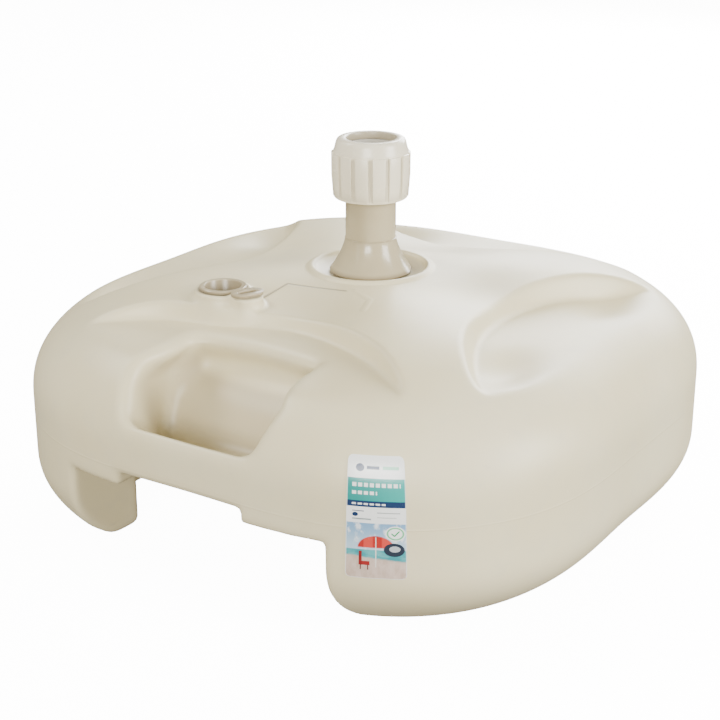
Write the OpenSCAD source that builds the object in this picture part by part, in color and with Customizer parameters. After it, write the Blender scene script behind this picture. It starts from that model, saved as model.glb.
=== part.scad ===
// Fillable parasol base: a hollow blow-moulded tank on four soft lobes, with a carrying
// handle on the front side (-Y), a plug-in pole tube, and a clamp nut that grips the pole.
// Origin: centre of the floor footprint. +Z up along the pole. Units: millimetres.

/* [Tank] */
// Width of the tank from one flat side to the other
base_w = 500; // [440:5:560]
// How far the four corner lobes swell beyond a circle, as a share of the radius
lobe_swell = 0.059; // [0.02:0.001:0.08]
// Height at which the side wall is widest
waist_z = 108; // [95:1:120]
// Height of the dome next to the collar
dome_z = 198.2; // [190:0.1:205]
// Wall thickness of the moulding
wall_t = 2.6; // [2.2:0.1:4]
// How far the wall tucks in at the floor
foot_tuck = 45; // [30:1:50]
// Height over which the foot rounds out to the wall
foot_round_h = 60; // [45:1:70]
// Extra fall of the dome towards the middle of each side
side_fall = 8; // [0:0.5:10]

/* [Scoops] */
// Radius of the arc that cuts each scoop into the dome
scoop_r = 200; // [190:1:210]
// Distance from the pole axis to the centre of that arc
scoop_centre = 319; // [312:1:326]
// Half width of a scoop at its ends
scoop_half_w = 146; // [135:1:150]
// Height of the scoop floor
scoop_z = 175; // [171:0.5:180]

/* [Handle pocket] */
// Half width of the pocket at its lower lip
lip_half_w = 58; // [50:1:62]
// Half width of the pocket at its open top
mouth_half_w = 82; // [74:1:90]
// Height of the lower lip
lip_z = 131; // [126:1:136]
// Height of the pocket floor
pocket_floor_z = 99; // [97:0.5:108]
// Distance from the pole axis to the front of the handle bar
bar_front = 168; // [162:1:174]
// How far the hand space reaches back under the bar
under_bar = 18; // [10:1:22]
// Underside of the handle bar
bar_under_z = 156; // [150:1:160]

/* [Lifting notch] */
// Half width of the notch between the two front feet
notch_half_w = 116; // [100:1:120]
// Height of the notch over its whole width
notch_z = 77; // [60:1:78]
// How far the higher middle step reaches to the left of the pole axis
step_left = 66; // [45:1:80]
// How far the higher middle step reaches to the right of the pole axis
step_right = 49; // [40:1:80]
// Height of the higher middle step
step_z = 88; // [80:0.5:89]
// Distance from the pole axis to where the notch's ceiling comes down to the floor
notch_back = 85; // [80:1:100]
// Distance from the pole axis to the back of the two front feet
foot_back = 167; // [150:1:180]
// Half width of the notch behind the front feet
notch_inner_half_w = 170; // [125:1:172]

/* [Pole tube] */
// Bore of the pole tube
tube_bore_r = 19.3; // [19.2:0.05:19.4]
// Outside radius of the tube between the flare and the nut
tube_r = 20.8; // [20.6:0.1:21.4]
// Outside radius of the flared foot
flare_r = 33.8; // [30:0.1:34]
// Outside radius of the spigot that stands in the well
spigot_r = 25; // [24:0.1:26]
// Height of the lower end of the spigot
spigot_z = 60; // [40:1:80]
// Height at which the flare begins
flare_top_z = 224; // [218:1:230]
// Outside radius of the threaded head
head_r = 26; // [25.8:0.1:26.2]
// Height of the upper end of the tube
tube_top_z = 292; // [290:1:293]

/* [Clamp nut] */
// Outside radius over the ribs
nut_r = 32.3; // [31.8:0.1:33]
// Height of the lower edge of the nut
nut_z = 258; // [257:0.5:259]
// Height of the top of the nut, which is the height of the whole base
nut_top_z = 307; // [306.5:0.5:309]
// Radius of the hole that the pole passes through
nut_hole_r = 20.1; // [19.8:0.1:20.5]
// Number of grip ribs
rib_count = 14; // [10:1:18]
// Width of one rib
rib_w = 9; // [5:0.5:9.5]

/* [Clamp collet] */
// Inside radius of the split collet, which touches the pole
collet_bore_r = 19.15; // [18.6:0.05:19.2]
// Number of slots in the collet
slot_count = 6; // [4:1:8]
// Width of one slot
slot_w = 2.4; // [1.5:0.1:3]

/* [Filler] */
// Distance of the filler from the pole axis
filler_dist = 132.7; // [125:0.1:138]
// Direction of the filler seen from above, anticlockwise from +X
filler_angle = 240.9; // [236:0.1:244]
// Radius of the neck bore
neck_r = 17.3; // [16.8:0.1:17.8]
// Outside radius of the plug's flange
plug_flange_r = 18.8; // [18.4:0.1:20]
// Depth of the hollow in the plug
plug_hollow = 13; // [8:0.5:14]

/* [Label] */
// Width of the label round the wall
label_w = 40.5; // [25:0.5:45]
// Height of the label's lower edge
label_z0 = 55.5; // [45:0.5:60]
// Height of the label's upper edge
label_z1 = 144.7; // [130:0.1:150]
// Direction of the label seen from above, anticlockwise from +X
label_angle = 303.7; // [298:0.1:308]

/* [Hidden] */
$fn = 96;
ivory = [0.87, 0.86, 0.81];
tube_grey = [0.80, 0.78, 0.71];
rubber_grey = [0.25, 0.25, 0.25];
eps = 0.01;

// Plan of the tank: a circle pulled out at the corners and in at the sides
plan_square = 0.003;
plan_mean = base_w / 2 / (1 - lobe_swell - plan_square);
function plan_r(t) =
    plan_mean * (1 + lobe_swell * cos(4 * (t - 45)) - plan_square * cos(8 * (t - 45)));

// Profile of the tank: tucked foot, upright wall, superelliptic dome
foot_power = 2.3;
dome_p = 3.866;
dome_q = 2.237;
dome_h = dome_z - waist_z;
function tuck(z) = foot_tuck * pow(max(0, 1 - z / foot_round_h), foot_power);
function step01(x) = let(c = max(0, min(1, x))) c * c * (3 - 2 * c);
function dome_height(rho) = waist_z + dome_h * pow(max(0, 1 - pow(rho, dome_p)), 1 / dome_q);
function dome_rho(z) = pow(1 - pow(max(0, z - waist_z) / dome_h, dome_q), 1 / dome_p);
function fall(r, t) = side_fall * (0.5 + 0.5 * cos(4 * t)) * step01((r - 50) / 65)
    * (1 - step01((r - 150) / 60));

// The scoop of the nearest side is cut along an arc and has a level floor and a steep edge
scoop_edge = 16;
scoop_end = 14;
function side_dist(x, y) = max(abs(x), abs(y));
function side_along(x, y) = min(abs(x), abs(y));
function arc_depth(x, y) =
    scoop_r + scoop_edge / 2 - norm([side_dist(x, y) - scoop_centre, side_along(x, y)]);
function in_scoop(x, y) = step01(arc_depth(x, y) / scoop_edge)
    * step01((scoop_half_w + scoop_end / 2 - side_along(x, y)) / scoop_end);
function top_height(rho, t) =
    let(r = rho * plan_r(t), z = dome_height(rho) - fall(r, t),
        cut = in_scoop(r * cos(t), r * sin(t)))
    z + (min(z, scoop_z) - z) * cut;

// Closed skin of the tank, moved inwards by a thickness in
foot_levels = [0, 8, 17, 28, 42, 60, 84, waist_z];
dome_shares = [0.985, 0.96, 0.93, 0.89, 0.85, 0.81, 0.77, 0.73, 0.69, 0.65, 0.61, 0.57,
               0.53, 0.49, 0.45, 0.41, 0.37, 0.3, 0.22];
inner_levels = [0, 14, 30, 60, waist_z];
inner_shares = [0.96, 0.89, 0.81, 0.73, 0.65, 0.57, 0.49, 0.41, 0.3, 0.22];
function foot_ring(z, n, in) =
    [for (i = [0 : n - 1])
        let(t = i * 360 / n, r = plan_r(t) - tuck(z) - in)
        [r * cos(t), r * sin(t), max(z, in)]];
function dome_ring(rho, n, in) =
    [for (i = [0 : n - 1])
        let(t = i * 360 / n, r = rho * plan_r(t) - in * rho)
        [r * cos(t), r * sin(t), top_height(rho, t) - in]];
module skin(n, levels, shares, in) {
    rings = concat([for (z = levels) foot_ring(z, n, in)],
                   [for (rho = shares) dome_ring(rho, n, in)]);
    count = len(rings);
    points = concat([for (ring = rings) for (p = ring) p],
                    [[0, 0, in], [0, 0, dome_z - in]]);
    floor_centre = count * n;
    top_centre = floor_centre + 1;
    sides = [for (k = [0 : count - 2]) for (i = [0 : n - 1])
                let(j = (i + 1) % n)
                for (f = [[k * n + i, (k + 1) * n + i, (k + 1) * n + j],
                          [k * n + i, (k + 1) * n + j, k * n + j]]) f];
    floor_fan = [for (i = [0 : n - 1]) [floor_centre, i, (i + 1) % n]];
    top_fan = [for (i = [0 : n - 1])
                  [top_centre, (count - 1) * n + (i + 1) % n, (count - 1) * n + i]];
    polyhedron(points, concat(sides, floor_fan, top_fan));
}

// Hollows of the front side, grown outwards by g to make their walls
reach = 300;
module across(left, right, profile) {
    // profile lists [distance in front of the pole axis, height]
    translate([right, 0, 0])
        rotate([90, 0, -90])
            linear_extrude(left + right)
                polygon(profile);
}

// Distance at which the notch's slanted ceiling reaches a height, grown by g
ceiling_slope = 0.68;
function ceiling_at(z, g) =
    notch_back + (z - g * norm([1, ceiling_slope])) / ceiling_slope;
module notch_space(g) {
    across(notch_half_w + g, notch_half_w + g,
           [[reach, -20], [reach, notch_z + g],
            [ceiling_at(notch_z + g, g), notch_z + g], [ceiling_at(-20, g), -20]]);
    across(step_left + g, step_right + g,
           [[reach, -20], [reach, step_z + g],
            [ceiling_at(step_z + g, g), step_z + g], [ceiling_at(-20, g), -20]]);
    // the notch is wider behind the front feet
    behind = foot_back + g;
    across(notch_inner_half_w + g, notch_inner_half_w + g,
           [[behind, -20],
            [behind, ceiling_slope * (behind - notch_back) + g * norm([1, ceiling_slope])],
            [ceiling_at(-20, g), -20]]);
}
lip_front = 262;
lip_back = 225;
pocket_half_w = 72;
base_front = 186;
module mouth_slice(dist, z, half_w) {
    translate([-half_w, -dist, z])
        cube([2 * half_w, eps, eps]);
}
module pocket_space(g) {
    // open hollow in front of the bar
    hull() {
        mouth_slice(lip_front + g, lip_z + 26 - g, lip_half_w + 6 + g);
        mouth_slice(lip_back + g, pocket_floor_z - g, lip_half_w + g);
        mouth_slice(base_front - g, pocket_floor_z - g, pocket_half_w - 8 + g);
        mouth_slice(bar_front - g, bar_under_z + 4, pocket_half_w - 2 + g);
        mouth_slice(bar_front - 5 - g, dome_z + 12, pocket_half_w + 2 + g);
        mouth_slice(lip_front + g, 186, mouth_half_w + g);
        mouth_slice(lip_front + g, dome_z + 12, mouth_half_w + 4 + g);
    }
    // room for the fingers under the bar
    hull() {
        mouth_slice(base_front + 4, pocket_floor_z + 5 - g, pocket_half_w - 14 + g);
        mouth_slice(base_front + 4, bar_under_z + g, pocket_half_w - 10 + g);
        mouth_slice(bar_front - under_bar - g, pocket_floor_z + 16 - g, pocket_half_w - 20 + g);
        mouth_slice(bar_front - under_bar - g, bar_under_z - 8 + g, pocket_half_w - 14 + g);
    }
}

// Collar, well and filler
collar_crest_r = 49;
collar_crest_z = 200.6;
seat_z = 195;
well_r = spigot_r + 0.5;
well_floor_z = 40;
seal_seat_z = 190;
seal_r = 29.5;
filler_x = filler_dist * cos(filler_angle);
filler_y = filler_dist * sin(filler_angle);
boss_r = 22.5;
boss_top_z = 198.6;
loop_x = filler_x + 26.6;
loop_y = filler_y - 3.4;
loop_turn = 66;
post_r = 12.5;
post_top_z = 198.2;
neck_bottom_z = 180;

module collar_ring() {
    rotate_extrude()
        polygon([[0, dome_z - 25], [40, dome_z - 12], [62, dome_z - 6], [60, 197], [55, 198.6],
                 [52, collar_crest_z - 0.5], [collar_crest_r, collar_crest_z],
                 [46, collar_crest_z - 0.5], [42, 198.2], [flare_r + 1.5, 195.8],
                 [flare_r + 0.5, seat_z], [0, seat_z]]);
}

module body_shell() {
    color(ivory)
        difference() {
            union() {
                difference() {
                    skin(72, foot_levels, dome_shares, 0);
                    pocket_space(0);
                    notch_space(0);
                    difference() {
                        skin(48, inner_levels, inner_shares, wall_t);
                        pocket_space(wall_t);
                        notch_space(wall_t);
                        translate([0, 0, -1])
                            cylinder(h = dome_z, r = well_r + wall_t);
                    }
                }
                collar_ring();
                translate([filler_x, filler_y, neck_bottom_z])
                    cylinder(h = boss_top_z - neck_bottom_z, r = boss_r);
                translate([loop_x, loop_y, dome_z - 16])
                    cylinder(h = post_top_z - dome_z + 16, r = post_r);
            }
            translate([0, 0, well_floor_z])
                cylinder(h = dome_z, r = well_r);
            translate([0, 0, seal_seat_z])
                cylinder(h = 20, r = seal_r);
            translate([0, 0, seat_z])
                cylinder(h = 20, r = flare_r + 0.5);
            translate([filler_x, filler_y, neck_bottom_z - 20])
                cylinder(h = 60, r = neck_r);
        }
}

// Pole tube: spigot, flared foot, straight neck and a threaded head with a conical seat
foot_t = 2;
head_z = 263;
seat_cone_r = 24;
seat_cone_z = 268;
module pole_tube() {
    color(tube_grey)
        rotate_extrude()
            polygon(concat(
                [[tube_bore_r, spigot_z], [spigot_r, spigot_z], [spigot_r, seat_z + 0.3],
                 [flare_r - 0.6, seat_z + 0.3], [flare_r, seat_z + foot_t]],
                [for (k = [0.25, 0.5, 0.75])
                    [flare_r + (tube_r - flare_r) * (1 - pow(1 - k, 1.5)),
                     seat_z + foot_t + (flare_top_z - seat_z - foot_t) * k]],
                [[tube_r, flare_top_z], [tube_r, head_z - 4], [head_r, head_z],
                 [head_r, tube_top_z - 0.8], [head_r - 0.8, tube_top_z],
                 [seat_cone_r, tube_top_z], [tube_bore_r + 0.3, seat_cone_z],
                 [tube_bore_r, seat_cone_z - 0.5]]));
}

// Sealing ring under the flared foot
module tube_seal() {
    color(rubber_grey)
        translate([0, 0, seal_seat_z])
            difference() {
                cylinder(h = seat_z - seal_seat_z, r = seal_r - 0.05);
                translate([0, 0, -1])
                    cylinder(h = seat_z - seal_seat_z + 2, r = spigot_r + 0.35);
            }
}

// Split collet: the nut pushes it down the conical seat and it closes on the pole
collet_gap = 0.3;
collet_z = 270;
collet_top_z = 301;
module clamp_collet() {
    slope = (seat_cone_r - tube_bore_r - 0.3) / (tube_top_z - seat_cone_z);
    low_r = tube_bore_r + 0.3 + slope * (collet_z - seat_cone_z) - collet_gap;
    rim_r = seat_cone_r - collet_gap;
    color(ivory)
        difference() {
            rotate_extrude()
                polygon([[collet_bore_r, collet_z], [low_r, collet_z],
                         [rim_r, tube_top_z], [rim_r, collet_top_z],
                         [collet_bore_r, collet_top_z]]);
            for (k = [0 : slot_count - 1])
                rotate([0, 0, k * 360 / slot_count])
                    translate([0, -slot_w / 2, collet_z - 1])
                        cube([nut_r, slot_w, collet_top_z - collet_z - 6]);
        }
}

// Fluted clamp nut
nut_roof_z = collet_top_z + 0.3;
nut_bore_r = head_r + 0.3;
groove_depth = 1.9;
rib_low_z = nut_z + 1;
rib_top_z = 296;
module nut_outline(r) {
    polygon([[0, nut_z], [r - 2.4, nut_z], [r - 1.2, rib_low_z], [r, nut_z + 10],
             [r, rib_top_z - 3], [r - 1.2, rib_top_z], [0, rib_top_z]]);
}
module clamp_nut() {
    color(ivory)
        difference() {
            union() {
                rotate_extrude()
                    nut_outline(nut_r - groove_depth);
                rotate_extrude()
                    polygon([[0, rib_top_z - 6], [nut_r - groove_depth, rib_top_z - 6],
                             [nut_r - groove_depth, rib_top_z], [nut_r - 2.6, rib_top_z + 2],
                             [nut_r - 3.9, nut_top_z - 3], [nut_r - 4.6, nut_top_z - 1],
                             [nut_r - 5.8, nut_top_z], [0, nut_top_z]]);
                intersection() {
                    rotate_extrude()
                        nut_outline(nut_r);
                    for (k = [0 : rib_count - 1])
                        rotate([0, 0, (k + 0.5) * 360 / rib_count])
                            translate([nut_r - 8, -rib_w / 2, nut_z - 1])
                                cube([12, rib_w, rib_top_z - nut_z + 2]);
                }
            }
            translate([0, 0, nut_z - 1])
                cylinder(h = nut_roof_z - nut_z + 1, r = nut_bore_r);
            cylinder(h = nut_top_z + 10, r = nut_hole_r);
        }
}

// Filler plug: a hollow stopper with a flange and a pull loop beside it
flange_t = 2.6;
plug_z = boss_top_z + 0.3;
plug_r = neck_r - 0.3;
plug_bottom_z = plug_z - plug_hollow - 2;
plug_hollow_r = 14.8;
groove_z = plug_z - 8;
seal_h = 2.2;
seal_groove = 1.2;
loop_r = 8.4;
loop_span = 10;
loop_slot_r = 2.8;
module round_slot(span, r) {
    square([span, 2 * r], center = true);
    for (side = [-1, 1])
        translate([side * span / 2, 0])
            circle(r = r);
}
module filler_plug() {
    color(ivory)
        union() {
            translate([filler_x, filler_y, 0])
                rotate_extrude()
                    polygon([[0, plug_bottom_z], [plug_r - 1, plug_bottom_z],
                             [plug_r, plug_bottom_z + 1], [plug_r, groove_z],
                             [plug_r - seal_groove, groove_z],
                             [plug_r - seal_groove, groove_z + seal_h],
                             [plug_r, groove_z + seal_h], [plug_r, plug_z],
                             [plug_flange_r, plug_z], [plug_flange_r, plug_z + flange_t - 0.6],
                             [plug_flange_r - 0.6, plug_z + flange_t],
                             [plug_hollow_r, plug_z + flange_t],
                             [plug_hollow_r - 0.8, plug_z + flange_t - 2],
                             [plug_hollow_r - 0.8, plug_bottom_z + 2],
                             [0, plug_bottom_z + 2]]);
            translate([loop_x, loop_y, plug_z])
                rotate([0, 0, loop_turn])
                    linear_extrude(flange_t)
                        difference() {
                            round_slot(loop_span, loop_r);
                            round_slot(loop_span, loop_slot_r);
                        }
        }
}

// Soft ring in the plug's groove
module plug_seal() {
    color(rubber_grey)
        translate([filler_x, filler_y, groove_z])
            difference() {
                cylinder(h = seal_h, r = neck_r - 0.05);
                translate([0, 0, -1])
                    cylinder(h = seal_h + 2, r = plug_r - seal_groove);
            }
}

// Label: a thin film that follows the wall
label_gap = 0.25;
label_t = 0.35;
label_cols = 8;
label_rows = 12;
function wall_rho(z) = z <= waist_z ? 1 : dome_rho(z);
function label_point(u, v, out) =
    let(z = label_z0 + (label_z1 - label_z0) * v,
        t = label_angle + (u - 0.5) * label_w / plan_r(label_angle) * 180 / PI,
        r = wall_rho(z) * plan_r(t) - tuck(z) + out)
    [r * cos(t), r * sin(t), z];
module product_label() {
    wide = label_cols + 1;
    tall = label_rows + 1;
    sheet = wide * tall;
    points = [for (out = [label_gap, label_gap + label_t])
                  for (j = [0 : label_rows]) for (i = [0 : label_cols])
                      label_point(i / label_cols, j / label_rows, out)];
    edge = concat([for (i = [0 : label_cols - 1]) i],
                  [for (j = [0 : label_rows - 1]) j * wide + label_cols],
                  [for (i = [label_cols : -1 : 1]) label_rows * wide + i],
                  [for (j = [label_rows : -1 : 1]) j * wide]);
    inner = [for (j = [0 : label_rows - 1]) for (i = [0 : label_cols - 1])
                 let(a = j * wide + i)
                 for (f = [[a, a + 1, a + wide + 1], [a, a + wide + 1, a + wide]]) f];
    outer = [for (f = inner) [sheet + f[0], sheet + f[2], sheet + f[1]]];
    rim = [for (k = [0 : len(edge) - 1])
               let(a = edge[k], b = edge[(k + 1) % len(edge)])
               for (f = [[a, sheet + a, sheet + b], [a, sheet + b, b]]) f];
    color("white")
        polyhedron(points, concat(inner, outer, rim));
}

body_shell();
pole_tube();
tube_seal();
clamp_collet();
clamp_nut();
filler_plug();
plug_seal();
product_label();
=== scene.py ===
# %% [markdown]
# # A fillable parasol base
# The real object is a hollow plastic tank that you fill with water or sand. It was blown like a bottle: a hot
# tube of plastic is caught between two steel moulds and air presses it against them. That is why every edge is
# soft and why the handle, the feet and the hollows are all one wall. A tube plugs into the middle, and a fluted
# nut on top grips the parasol pole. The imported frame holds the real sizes, so each piece takes its place from it.

# %% Load the frame
import math

import bpy
import numpy as np
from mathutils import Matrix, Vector


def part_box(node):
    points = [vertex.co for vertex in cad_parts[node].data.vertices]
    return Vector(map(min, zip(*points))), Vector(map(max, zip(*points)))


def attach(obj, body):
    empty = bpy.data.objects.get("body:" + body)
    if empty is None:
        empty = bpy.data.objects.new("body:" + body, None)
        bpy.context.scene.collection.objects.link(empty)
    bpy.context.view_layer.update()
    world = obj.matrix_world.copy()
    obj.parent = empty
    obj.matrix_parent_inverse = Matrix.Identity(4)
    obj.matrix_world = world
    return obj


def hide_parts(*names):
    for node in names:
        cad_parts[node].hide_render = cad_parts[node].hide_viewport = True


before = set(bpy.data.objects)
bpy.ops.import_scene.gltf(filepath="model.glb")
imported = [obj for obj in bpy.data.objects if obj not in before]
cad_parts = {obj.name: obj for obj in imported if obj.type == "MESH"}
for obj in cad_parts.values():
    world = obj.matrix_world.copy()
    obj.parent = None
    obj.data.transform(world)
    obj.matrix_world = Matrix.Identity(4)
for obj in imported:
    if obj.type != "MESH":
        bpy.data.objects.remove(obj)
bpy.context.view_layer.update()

MM = 0.001
print("nodes:", sorted(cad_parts))

# %% [markdown]
# ## Camera, floor and light
# A catalogue view of a pale object needs soft light with one clear direction, or the shape goes flat. A long lens
# keeps the perspective calm. The camera stands in front and to the right of the handle side and looks down a
# little. A large light on the right and one behind shape the dome, a soft one in front and a narrow strip keep the
# handle side readable, and one high on the left lifts the left-hand lobe.

# %% Camera
VIEW_AZIMUTH = math.radians(32.86)
VIEW_PITCH = math.radians(20.27)
VIEW_TURN = 0.007
CAMERA_DISTANCE = 1.25825
CAMERA_HEIGHT = 0.58133

camera_data = bpy.data.cameras.new("view_camera")
camera_data.lens = 79.03
camera_data.sensor_width = 36.0
camera_data.shift_y = -0.0024
camera_data.clip_end = 50.0
camera = bpy.data.objects.new("view_camera", camera_data)
camera.location = (CAMERA_DISTANCE * math.sin(VIEW_AZIMUTH),
                   -CAMERA_DISTANCE * math.cos(VIEW_AZIMUTH), CAMERA_HEIGHT)
camera.rotation_euler = (math.pi / 2 - VIEW_PITCH, 0.0, VIEW_AZIMUTH + VIEW_TURN)
bpy.context.scene.collection.objects.link(camera)
bpy.context.scene.camera = camera


# %% Lights
def area_light(name, location, size, power, colour):
    """A soft light of a width and height that faces the middle of the base."""
    data = bpy.data.lights.new(name, "AREA")
    data.shape = "RECTANGLE"
    data.size, data.size_y = size
    data.energy = power
    data.color = colour
    light = bpy.data.objects.new(name, data)
    light.location = location
    aim = Vector((0.0, 0.0, 0.12)) - Vector(location)
    light.rotation_euler = aim.to_track_quat("-Z", "Y").to_euler()
    bpy.context.scene.collection.objects.link(light)
    return light


area_light("key_light", (2.4, 0.3, 0.9), (1.1, 1.1), 105.0, (0.99, 0.99, 1.0))
area_light("back_light", (-0.3, 2.6, 1.15), (2.4, 1.2), 165.0, (0.96, 0.98, 1.0))
area_light("front_light", (0.9, -2.3, 0.9), (1.0, 0.8), 74.0, (1.0, 0.99, 0.97))
area_light("left_light", (-1.7, -0.6, 2.2), (1.0, 0.8), 50.0, (1.0, 0.99, 0.97))
area_light("strip_light", (-0.9, -2.4, 1.0), (0.18, 1.5), 7.0, (1.0, 0.98, 0.95))

world = bpy.data.worlds.new("studio")
world.use_nodes = True
world.node_tree.nodes["Background"].inputs["Color"].default_value = (1.0, 0.90, 0.70, 1.0)
world.node_tree.nodes["Background"].inputs["Strength"].default_value = 0.40
bpy.context.scene.world = world


# %% Floor
def deselect():
    """Leaves object mode with nothing selected, so that an operator acts on what is selected next."""
    if bpy.context.object and bpy.context.object.mode != "OBJECT":
        bpy.ops.object.mode_set(mode="OBJECT")
    bpy.ops.object.select_all(action="DESELECT")


deselect()
bpy.ops.mesh.primitive_plane_add(size=12.0, location=(0.0, 0.0, -0.0002))
floor = bpy.context.object
floor.name = "studio_floor"
floor.visible_diffuse = False
floor.visible_glossy = False
print("stage ready")

# %% [markdown]
# ## Small helpers for modelling
# Each piece starts as a primitive at its size and place, and is shaped in edit mode. The helpers apply the
# object's place to its mesh, run a modifier and apply it, and select parts of a mesh by where they are.


# %% Modelling helpers
def take(name):
    """Names the object that an operator just made and puts its place into its mesh."""
    piece = bpy.context.object
    piece.name = name
    piece.data.name = name
    bpy.ops.object.transform_apply(location=True, rotation=True, scale=True)
    return piece


def only(piece):
    """Selects this piece alone and makes it the active one."""
    deselect()
    piece.select_set(True)
    bpy.context.view_layer.objects.active = piece


def apply_modifier(piece, kind, **settings):
    """Adds a modifier with these settings and applies it to the mesh."""
    only(piece)
    modifier = piece.modifiers.new(kind.lower(), kind)
    for key, value in settings.items():
        setattr(modifier, key, value)
    bpy.ops.object.modifier_apply(modifier=modifier.name)


def corners(piece):
    """The piece's vertices as an array of places."""
    places = np.empty(len(piece.data.vertices) * 3)
    piece.data.vertices.foreach_get("co", places)
    return places.reshape(-1, 3)


def move_corners(piece, places):
    """Writes new places to the piece's vertices."""
    piece.data.vertices.foreach_set("co", np.ascontiguousarray(places).ravel())
    piece.data.update()


def select_faces(piece, test):
    """Selects the faces whose centre and normal pass the test, and enters edit mode on faces."""
    only(piece)
    piece.data.polygons.foreach_set("select", [False] * len(piece.data.polygons))
    piece.data.edges.foreach_set("select", [False] * len(piece.data.edges))
    piece.data.vertices.foreach_set("select", [False] * len(piece.data.vertices))
    bpy.ops.object.mode_set(mode="EDIT")
    bpy.ops.mesh.select_mode(type="FACE")
    bpy.ops.object.mode_set(mode="OBJECT")
    for face in piece.data.polygons:
        face.select = bool(test(face.center, face.normal))
    bpy.ops.object.mode_set(mode="EDIT")


def smooth_shade(piece, degrees=40.0):
    """Smooth shading that keeps edges sharper than the angle."""
    only(piece)
    bpy.ops.object.shade_smooth_by_angle(angle=math.radians(degrees))


def revolve(name, profile, steps):
    """Turns a closed profile of (radius, height) in millimetres round the pole axis into a closed ring."""
    deselect()
    bpy.ops.mesh.primitive_circle_add(vertices=len(profile), radius=0.01)
    piece = bpy.context.object
    places = np.array([[radius * MM, 0.0, height * MM] for radius, height in profile])
    move_corners(piece, places)
    only(piece)
    bpy.ops.object.mode_set(mode="EDIT")
    bpy.ops.mesh.select_all(action="SELECT")
    bpy.ops.mesh.spin(steps=steps, angle=math.tau, center=(0.0, 0.0, 0.0), axis=(0.0, 0.0, 1.0))
    bpy.ops.mesh.select_all(action="SELECT")
    bpy.ops.mesh.remove_doubles(threshold=1e-6)
    bpy.ops.mesh.normals_make_consistent(inside=False)
    bpy.ops.object.mode_set(mode="OBJECT")
    return take(name)


# %% [markdown]
# ## The shape of the mould
# A blown wall has no sharp edge anywhere, and its hollows melt into each other. Bevels on a mesh like this break
# where three hollows meet. So the mould is written as a formula: a function that says how far a point lies
# outside the wall. Simple bodies are joined and cut with a soft maximum, which leaves a round fillet of a chosen
# size. The mesh that is modelled below is then settled onto this formula, which makes the surface smooth.

# %% Sizes of the tank, in millimetres
tank_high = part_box("body_shell")[1]
FLAT_SHARE = 0.9981
SIDE = tank_high.x / MM * FLAT_SHARE
SWELL = 0.059
SQUARE = 0.003
MEAN = SIDE / (1.0 - SWELL - SQUARE)
WAIST = 108.0
DOME = 198.2
FOOT_TUCK, FOOT_ROUND, FOOT_POWER = 45.0, 60.0, 2.3
DOME_P, DOME_Q = 3.866, 2.237
SCOOP_RADIUS, SCOOP_CENTRE, SCOOP_FLOOR, HANDLE_TOP = 200.0, 319.0, 174.0, 176.5
COLLAR_CREST = tank_high.z / MM
filler_low, filler_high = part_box("plug_seal")
FILLER_X = (filler_low.x + filler_high.x) / 2 / MM
FILLER_Y = (filler_low.y + filler_high.y) / 2 / MM
LOOP_X, LOOP_Y = FILLER_X + 26.6, FILLER_Y - 3.4


def step01(value):
    """A smooth step from 0 to 1."""
    value = np.clip(value, 0.0, 1.0)
    return value * value * (3.0 - 2.0 * value)


def soft_min(a, b, size):
    """The smaller of two distances, blended over a size."""
    share = np.maximum(size - np.abs(a - b), 0.0) / size
    return np.minimum(a, b) - share * share * size * 0.25


def soft_max(a, b, size):
    """The larger of two distances, blended over a size."""
    return -soft_min(-a, -b, size)


def bump(value, width):
    """A round bump: 1 at zero, fading to 0 over the width."""
    return np.exp(-np.square(value / width))


print("side", round(SIDE, 2), "mean radius", round(MEAN, 2), "collar", round(COLLAR_CREST, 2))


# %% [markdown]
# ### Plan and dome
# From above the tank is a circle that is pulled out at the four corners. The dome falls gently and then turns
# into the wall. Four round scoops are cut into its shoulders, one to a side, each with a level floor and a steep
# inner edge. The front one is the top of the handle.

# %% Height of the dome
def plan_radius(turn):
    """Distance from the pole axis to the widest wall in a direction."""
    corner = turn - math.pi / 4
    return MEAN * (1.0 + SWELL * np.cos(4.0 * corner) - SQUARE * np.cos(8.0 * corner))


def plain_dome(share):
    """Height of the dome before the scoops, at a share of the radius."""
    return WAIST + (DOME - WAIST) * np.maximum(1.0 - share ** DOME_P, 0.0) ** (1.0 / DOME_Q)


def dome_drop(x, y):
    """How far the shaped top lies below the plain dome."""
    reach, turn = np.hypot(x, y), np.arctan2(y, x)
    plain = plain_dome(np.minimum(reach / plan_radius(turn), 1.0))
    height = plain - 8.0 * (0.5 + 0.5 * np.cos(4.0 * turn)) * step01((reach - 50.0) / 65.0) * (
        1.0 - step01((reach - 150.0) / 60.0))
    for side, (along, across) in enumerate(((-y, x), (x, y), (y, -x), (-x, -y))):
        inside = SCOOP_RADIUS - np.hypot(along - SCOOP_CENTRE, across)
        cut_end = step01((152.0 - np.abs(across)) / 14.0)
        soft = 6.5 if side == 0 else 12.0
        if side == 0:
            inside = inside - 16.0 * bump(np.hypot(x - FILLER_X - 10.0, y - FILLER_Y + 1.0), 36.0)
            floor_height = HANDLE_TOP - 0.07 * (along - 150.0)
        else:
            basin = bump(along - 174.0, 25.0) * bump(np.abs(across) - 92.0, 38.0)
            floor_height = SCOOP_FLOOR - 0.03 * (along - 150.0) - 8.0 * basin
        cut = step01((inside + 2.0) / soft) * cut_end
        height = height + (soft_min(height, floor_height, 4.0) - height) * cut
    return plain - height


print("drop at the front scoop:", dome_drop(np.array([0.0]), np.array([-140.0])).round(2))


# %% [markdown]
# ### Handle pocket and lifting notch
# The hand reaches over the lower lip and under the bar. The mouth widens upwards, the side walls inside are
# upright, and the floor lies below the lip. Under the front edge a stepped notch lets you lift the base.

# %% Hollows of the handle side
LIP_SLOPE = 1.6


def plane(value, height, slope, at_value, at_height):
    """Signed distance below a slanted plane through a point."""
    return (at_height + slope * (value - at_value) - height) / math.hypot(1.0, slope)


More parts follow.
